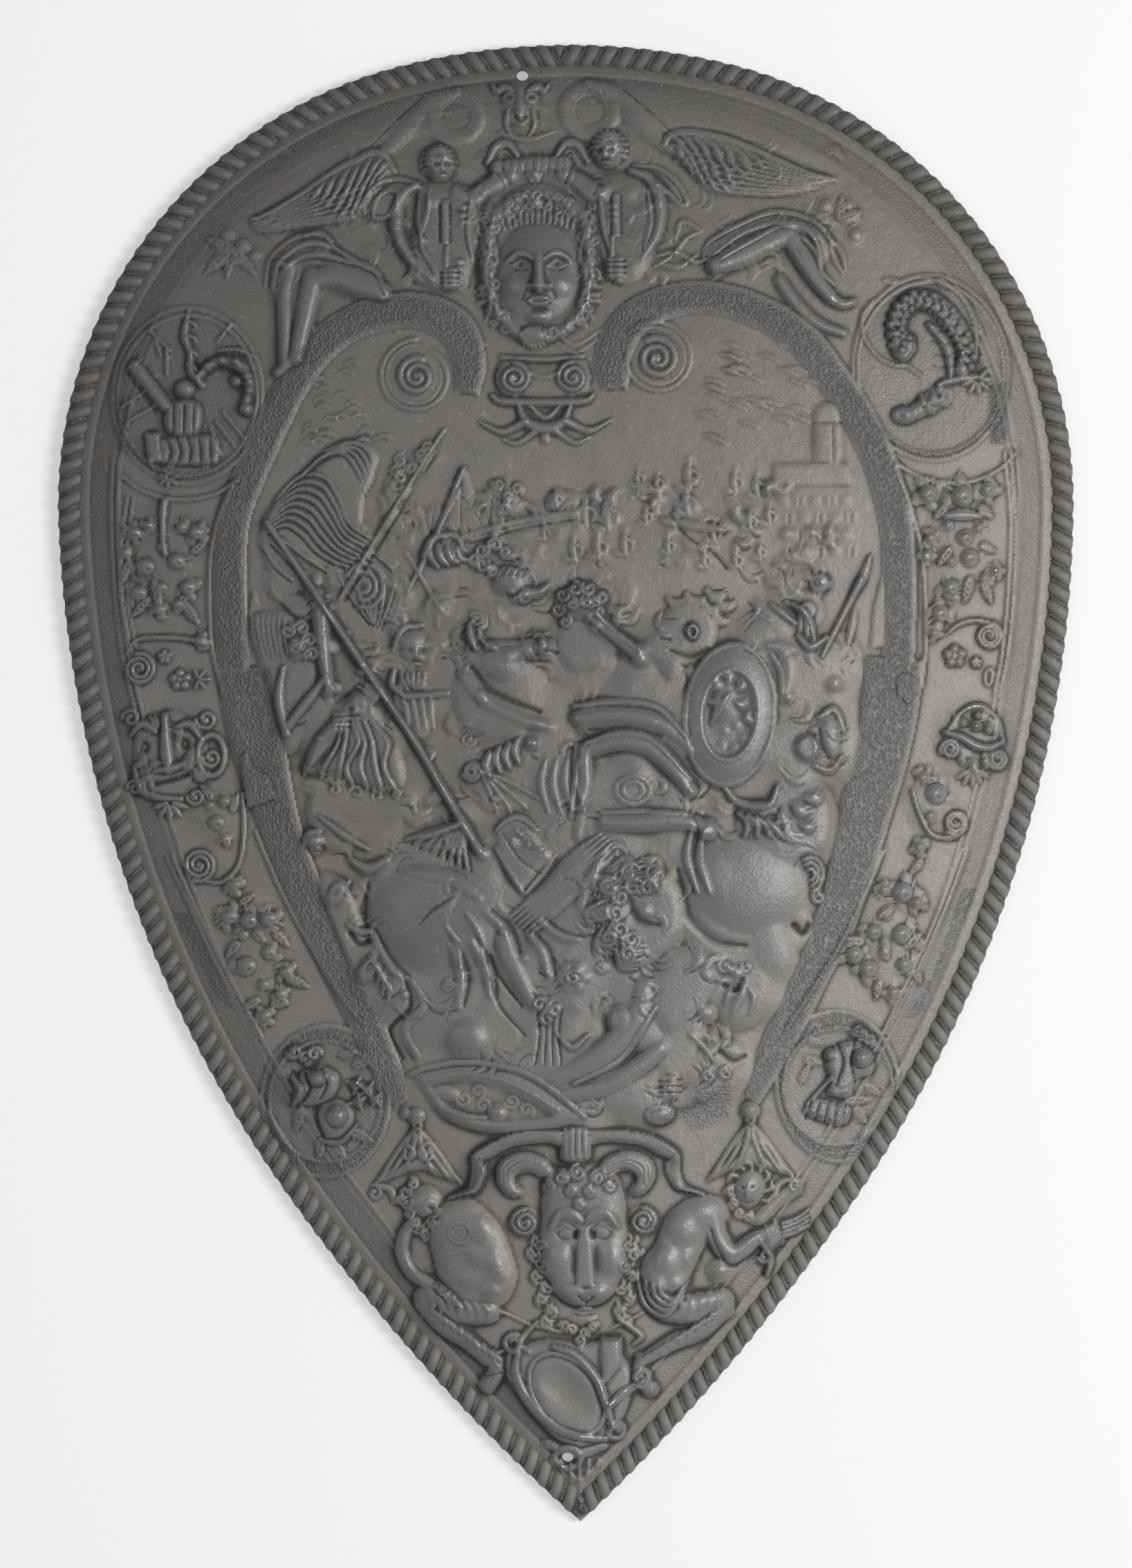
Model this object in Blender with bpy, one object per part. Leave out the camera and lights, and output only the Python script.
"""Almond-shaped cast iron parade shield, lying face up on its flat rim.

Every size is in millimetres and becomes metres in the last step. X runs across the
shield, +Y towards the round top, +Z out of the decorated face. One skin of rings
follows the outline: up over the rim bead, across the face to a middle spine, and back
under the hollow to the flat the shield lies on.
"""

import bpy
import numpy as np

# Outline of one side: radius and turn of each arc, from the top to the last arc,
# which runs on through the tip.
SHIELD_HEIGHT = 620.0
SIDE_ARCS = ((286.5, 13.98), (189.7, 77.34), (520.7, 33.05))
ARC_STEPS = (6, 22, 23)
TIP_STEPS = 9

# Section through the rim: how far in from the outline, and how high.
RIM_SECTION = (
    (0.0, 0.0),
    (0.0, 4.6),
    (1.3, 7.6),
    (4.6, 9.2),
    (7.9, 7.6),
    (9.4, 5.6),
    (12.4, 5.4),
    (17.0, 9.0),
)
FIELD_EDGE_DEPTH = 24.0
FIELD_EDGE_HEIGHT = 14.0

# Dome of the face.
DOME_RISE = 26.0
DOME_REACH = 170.0
EDGE_BLEND = 28.0

# Back.
WALL = 3.0
REST_FLAT_DEPTH = 21.0
BACK_EDGE_DEPTH = 26.0

# Grid of the face and of the back.
FACE_RINGS = 25
BACK_RINGS = 6
SPINE_TOP = 95.0
SPINE_FOOT = -206.0
SPINE_SCALE = 0.05

# Screw holes.
HOLE_DIAMETER = 5.0
HOLES = ((-15.5, 297.0), (-5.0, -282.0))
HOLE_SIDES = 20

# Raised work: middle x and y, half sizes, turn in degrees, height.
MOUNDS = {
    "mask": (-9, 214, 14, 24, 0, 11),
    "headdress": (-9, 246, 24, 9, 0, 6),
    "ram_skull": (-14, 281, 9, 12, 0, 3),
    "capital": (-8, 167, 22, 9, 0, 6),
    "left_genius_head": (-45, 258, 8, 8, 0, 7),
    "left_genius_torso": (-52, 236, 10, 18, 0, 7),
    "right_genius_head": (22, 260, 9, 9, 0, 7),
    "right_genius_torso": (28, 236, 11, 18, 0, 7),
    "left_top_fruit": (-133, 228, 11, 10, 0, 5),
    "right_top_fruit": (119, 230, 12, 11, 0, 5),
    "left_trophy": (-153, 166, 22, 30, 0, 7),
    "right_trophy": (156, 178, 22, 24, 0, 8),
    "left_side_fruit": (-167, 98, 17, 26, 0, 6),
    "left_side_mask": (-160, 52, 18, 14, 0, 5),
    "left_side_scroll": (-160, 12, 20, 18, 0, 5),
    "left_low_scroll": (-150, -24, 12, 15, 0, 5),
    "left_low_fruit": (-132, -66, 13, 24, 22, 5),
    "right_side_fruit": (164, 98, 16, 26, 0, 6),
    "right_side_mask": (168, 48, 17, 14, 0, 5),
    "right_side_scroll": (168, 14, 14, 16, 0, 5),
    "right_low_scroll": (154, -12, 14, 15, 0, 5),
    "right_low_fruit": (128, -62, 14, 24, -22, 5),
    "left_low_trophy": (-103, -126, 19, 22, 0, 7),
    "right_low_trophy": (107, -122, 19, 22, 0, 7),
    "banner": (-101, 114, 30, 34, -20, 7),
    "left_rider": (-112, 48, 16, 30, 10, 6),
    "left_horse": (-92, 10, 18, 26, 10, 7),
    "cloak": (-32, 38, 34, 26, -20, 9),
    "central_rider": (22, 46, 24, 28, 30, 9),
    "rider_hip": (26, 2, 24, 20, 0, 9),
    "saddle": (-14, -18, 20, 22, 20, 8),
    "oval_shield": (68, 32, 21, 30, 0, 8),
    "right_warrior": (106, 66, 14, 22, 10, 6),
    "right_lower_warrior": (92, -10, 20, 22, 0, 7),
    "left_rump": (-66, -56, 20, 24, 0, 13),
    "right_rump": (70, -46, 26, 24, 10, 13),
    "horse_head": (24, -54, 18, 24, 0, 9),
    "low_figures": (-46, -100, 26, 18, 0, 9),
    "low_leg": (22, -108, 34, 14, 28, 8),
    "right_low_heads": (62, -104, 16, 24, -20, 6),
    "fallen_shield": (-32, -128, 42, 14, -10, 7),
    "lion_brow": (0, -172, 30, 17, 0, 10),
    "lion_muzzle": (0, -198, 18, 26, 0, 13),
    "left_satyr": (-44, -196, 20, 27, 8, 11),
    "left_satyr_head": (-66, -172, 12, 12, 0, 9),
    "right_satyr": (44, -196, 21, 26, -8, 11),
    "right_satyr_head": (68, -170, 13, 12, 0, 9),
    "cartouche": (-7, -254, 14, 24, 34, 6),
}

# Raised straps and rings: points along the middle, half width, height.
STRAPS = {
    "left_frame": (
        ((-48, 192), (-82, 192), (-106, 172), (-124, 140), (-137, 100), (-140, 60),
         (-134, 20), (-124, -20), (-106, -66), (-86, -106), (-70, -134)),
        9.0,
        3.0,
    ),
    "right_frame": (
        ((34, 194), (72, 198), (100, 182), (120, 150), (134, 110), (138, 66),
         (134, 24), (124, -20), (108, -66), (90, -104), (72, -134)),
        9.0,
        3.0,
    ),
    "left_wing": (((-64, 254), (-96, 246), (-128, 238)), 12.0, 4.0),
    "right_wing": (((44, 260), (80, 254), (116, 245)), 12.0, 4.0),
    "left_thigh": (((-64, 212), (-103, 215)), 8.0, 7.0),
    "left_shin": (((-104, 213), (-112, 192), (-118, 174)), 6.0, 5.0),
    "right_thigh": (((64, 213), (94, 221)), 8.0, 7.0),
    "right_shin": (((96, 218), (108, 202), (122, 190)), 6.0, 5.0),
    "yoke": (((-40, -156), (-24, -148), (0, -146), (24, -149), (40, -158)), 5.0, 5.0),
    "left_satyr_leg": (((-64, -214), (-44, -232), (-36, -246)), 7.0, 6.0),
    "right_satyr_leg": (((58, -222), (36, -236), (28, -248)), 7.0, 6.0),
}

# Ringed discs: middle, outer half sizes, rim width, height.
RINGS = {
    "left_volute": (-58, 169, 19, 20, 6, 4),
    "right_volute": (43, 177, 19, 19, 6, 4),
    "upper_left_medallion": (-154, 167, 32, 39, 6, 2.5),
    "upper_right_medallion": (153, 167, 32, 39, 6, 2.5),
    "lower_left_medallion": (-106, -127, 28, 32, 6, 2.5),
    "lower_right_medallion": (107, -124, 28, 32, 6, 2.5),
}

IRON = (0.115, 0.105, 0.098, 1.0)


def clear_scene():
    """Take every object out of the scene."""
    for obj in list(bpy.data.objects):
        bpy.data.objects.remove(obj, do_unlink=True)


def right_side(depth):
    """Points of the right side, set in by depth, from the top to the tip."""
    x, y, heading = 0.0, SHIELD_HEIGHT / 2, 0.0
    points = [(0.0, y - depth)]
    for (radius, turn), steps in zip(SIDE_ARCS, ARC_STEPS):
        middle_x = x + radius * np.sin(heading)
        middle_y = y - radius * np.cos(heading)
        for step in range(1, steps + 1):
            now = heading - np.radians(turn) * step / steps
            points.append(
                (
                    middle_x - (radius - depth) * np.sin(now),
                    middle_y + (radius - depth) * np.cos(now),
                )
            )
        heading -= np.radians(turn)
        x = middle_x - radius * np.sin(heading)
        y = middle_y + radius * np.cos(heading)
    # The last arc is tangent here and passes through the tip.
    to_tip = np.array((0.0 - x, -SHIELD_HEIGHT / 2 - y))
    inward = np.array((np.sin(heading), -np.cos(heading)))
    radius = to_tip @ to_tip / (2 * to_tip @ inward)
    middle_x, middle_y = np.array((x, y)) + radius * inward
    reach = radius - depth
    first = np.arctan2(y - middle_y, x - middle_x)
    last = np.arctan2(-np.sqrt(reach**2 - middle_x**2), -middle_x)
    for step in range(1, TIP_STEPS + 1):
        now = first + (last - first) * step / TIP_STEPS
        points.append((middle_x + reach * np.cos(now), middle_y + reach * np.sin(now)))
    points[-1] = (0.0, points[-1][1])
    return np.array(points)


def closed_ring(depth):
    """The whole outline set in by depth, from the top round by the right."""
    side = right_side(depth)
    return np.vstack([side, side[-2:0:-1] * (-1.0, 1.0)])


def distance_to_side(points, side):
    """Shortest distance from each point to an open line."""
    nearest = np.full(len(points), 1e9)
    for start, end in zip(side[:-1], side[1:]):
        along = end - start
        share = np.clip((points - start) @ along / (along @ along), 0, 1)
        gap = points - start - share[:, None] * along
        nearest = np.minimum(nearest, np.hypot(gap[:, 0], gap[:, 1]))
    return nearest


def depth_inside(points):
    """Distance in from the outline, rounded where the two sides are equally near."""
    side = right_side(0.0)
    right = distance_to_side(points, side)
    left = distance_to_side(points, side * (-1.0, 1.0))
    sharp = np.minimum(right, left)
    soft = -EDGE_BLEND * np.log(np.exp(-right / EDGE_BLEND) + np.exp(-left / EDGE_BLEND))
    share = np.clip((sharp - 10) / 60, 0, 1)
    share = share * share * (3 - 2 * share)
    return sharp * (1 - share) + soft * share


def dome(depth):
    """Height of the plain face, at this far in from the outline."""
    share = np.clip((depth - FIELD_EDGE_DEPTH) / DOME_REACH, 0, 1)
    return FIELD_EDGE_HEIGHT + DOME_RISE * (1 - (1 - share) ** 2)


def mound_height(points, name):
    """A rounded mass, zero outside its ellipse."""
    x, y, half_x, half_y, turn, height = MOUNDS[name]
    angle = np.radians(turn)
    gap = points - (x, y)
    across = (gap[:, 0] * np.cos(angle) + gap[:, 1] * np.sin(angle)) / half_x
    along = (gap[:, 1] * np.cos(angle) - gap[:, 0] * np.sin(angle)) / half_y
    inside = np.clip(1 - across**2 - along**2, 0, 1)
    return height * inside


def strap_height(points, name):
    """A round-topped strap along a line of points."""
    line, half_width, height = STRAPS[name]
    gap = distance_to_side(points, np.array(line, float))
    return height * np.clip(1 - (gap / half_width) ** 2, 0, 1) ** 0.6


def ring_height(points, name):
    """A raised rim round an ellipse, with a lower disc inside it."""
    x, y, half_x, half_y, width, height = RINGS[name]
    gap = points - (x, y)
    reach = np.hypot(gap[:, 0] / half_x, gap[:, 1] / half_y)
    from_rim = (reach - 1) * min(half_x, half_y) + width / 2
    rim = height * np.clip(1 - (from_rim / width) ** 2, 0, 1)
    disc = np.where(reach < 1, height * 0.45, 0.0)
    return np.maximum(rim, disc)


def relief(points):
    """Height of the raised work over the plain face."""
    top = np.zeros(len(points))
    for name in MOUNDS:
        top = np.maximum(top, mound_height(points, name))
    for name in STRAPS:
        top = np.maximum(top, strap_height(points, name))
    for name in RINGS:
        top = np.maximum(top, ring_height(points, name))
    return top


def face_height(points):
    """Height of the decorated face inside the rim."""
    return dome(depth_inside(points)) + relief(points)


def back_height(points):
    """Height of the smooth hollow back: the plain dome less the wall."""
    return dome(depth_inside(points)) - WALL


def spine(ring):
    """Where each point of a ring ends up on the narrow loop at the middle."""
    over_top = SPINE_TOP + SPINE_SCALE * (ring[:, 1] - SPINE_TOP)
    stretch = (SPINE_TOP - SPINE_FOOT) / (SPINE_TOP + SHIELD_HEIGHT / 2)
    under_top = SPINE_TOP + stretch * (ring[:, 1] - SPINE_TOP)
    y = np.where(ring[:, 1] > SPINE_TOP, over_top, under_top)
    x = SPINE_SCALE * ring[:, 0]
    return np.column_stack([x, y])


def inner_rings(edge_depth, count, height_at):
    """Rings from the given depth to the spine, as 3-D points."""
    edge = closed_ring(edge_depth)
    middle = spine(edge)
    rings = []
    for step in range(count + 1):
        share = step / count
        flat = edge * (1 - share) + middle * share
        rings.append(np.column_stack([flat, height_at(flat)]))
    return rings


def strip(first, second, count):
    """Faces between two rings of the same count, the second one further in."""
    faces = []
    for at in range(count):
        after = (at + 1) % count
        faces.append((first + at, second + at, second + after, first + after))
    return faces


def close_spine(first, count, downward):
    """Faces across the narrow middle loop, joining its right and left points."""
    half = count // 2
    faces = [(first, first + 1, first + count - 1)]
    for at in range(1, half - 1):
        faces.append((first + at, first + at + 1, first + count - at - 1, first + count - at))
    faces.append((first + half - 1, first + half, first + half + 1))
    if downward:
        faces = [face[::-1] for face in faces]
    return [face[::-1] for face in faces]


def shield_mesh():
    """Points and faces of the whole casting, before the holes."""
    points = []
    faces = []
    rings = []
    for depth, height in RIM_SECTION:
        ring = closed_ring(depth)
        rings.append(np.column_stack([ring, np.full(len(ring), height)]))
    rings += inner_rings(FIELD_EDGE_DEPTH, FACE_RINGS, face_height)
    count = len(rings[0])
    for number, ring in enumerate(rings):
        points.append(ring)
        if number:
            faces += strip((number - 1) * count, number * count, count)
    faces += close_spine((len(rings) - 1) * count, count, downward=False)
    start = len(rings) * count

    # Back: the flat the shield rests on, then rings at half the count.
    half = count // 2
    flat = closed_ring(REST_FLAT_DEPTH)[::2]
    points.append(np.column_stack([flat, np.zeros(half)]))
    for at in range(half):
        outer = 2 * at
        inner = start + at
        after = start + (at + 1) % half
        faces.append((outer, outer + 1, inner))
        faces.append((outer + 1, after, inner))
        faces.append((outer + 1, (outer + 2) % count, after))
    edge = closed_ring(BACK_EDGE_DEPTH)[::2]
    middle = spine(edge)
    for step in range(BACK_RINGS + 1):
        share = step / BACK_RINGS
        ring = edge * (1 - share) + middle * share
        points.append(np.column_stack([ring, back_height(ring)]))
        back = strip(start + step * half, start + (step + 1) * half, half)
        faces += [face[::-1] for face in back]
    faces += close_spine(start + (BACK_RINGS + 1) * half, half, downward=True)
    return np.vstack(points), faces


def mesh_object(name, points, faces, material):
    """A mesh object in metres from points in millimetres."""
    mesh = bpy.data.meshes.new(name)
    mesh.from_pydata((points * 0.001).tolist(), [], faces)
    mesh.validate()
    obj = bpy.data.objects.new(name, mesh)
    bpy.context.scene.collection.objects.link(obj)
    mesh.materials.append(material)
    return obj


def iron_material():
    """Plain dark cast iron."""
    material = bpy.data.materials.new("cast_iron")
    material.use_nodes = True
    shader = material.node_tree.nodes["Principled BSDF"]
    shader.inputs["Base Color"].default_value = IRON
    shader.inputs["Metallic"].default_value = 0.6
    shader.inputs["Roughness"].default_value = 0.5
    material.diffuse_color = IRON
    return material


def hole_cutter(number, x, y, material):
    """An upright rod that drills one screw hole through the rim flat."""
    angles = np.arange(HOLE_SIDES) * 2 * np.pi / HOLE_SIDES
    circle = np.column_stack([np.cos(angles), np.sin(angles)]) * HOLE_DIAMETER / 2 + (x, y)
    low = np.column_stack([circle, np.full(HOLE_SIDES, -10.0)])
    high = np.column_stack([circle, np.full(HOLE_SIDES, 40.0)])
    faces = [tuple(reversed(range(HOLE_SIDES))), tuple(range(HOLE_SIDES, 2 * HOLE_SIDES))]
    for at in range(HOLE_SIDES):
        after = (at + 1) % HOLE_SIDES
        faces.append((at, after, HOLE_SIDES + after, HOLE_SIDES + at))
    cutter = mesh_object(f"hole_cutter_{number}", np.vstack([low, high]), faces, material)
    cutter.hide_render = True
    cutter.display_type = "WIRE"
    return cutter


def main():
    """Build the shield."""
    clear_scene()
    material = iron_material()
    points, faces = shield_mesh()
    shield = mesh_object("shield", points, faces, material)
    for polygon in shield.data.polygons:
        polygon.use_smooth = polygon.center.z > 0.001
    for number, (x, y) in enumerate(HOLES):
        cut = shield.modifiers.new(f"hole_{number}", "BOOLEAN")
        cut.operation = "DIFFERENCE"
        cut.solver = "EXACT"
        cut.object = hole_cutter(number, x, y, material)
        cut.show_render = cut.show_viewport


if __name__ == "__main__":
    main()
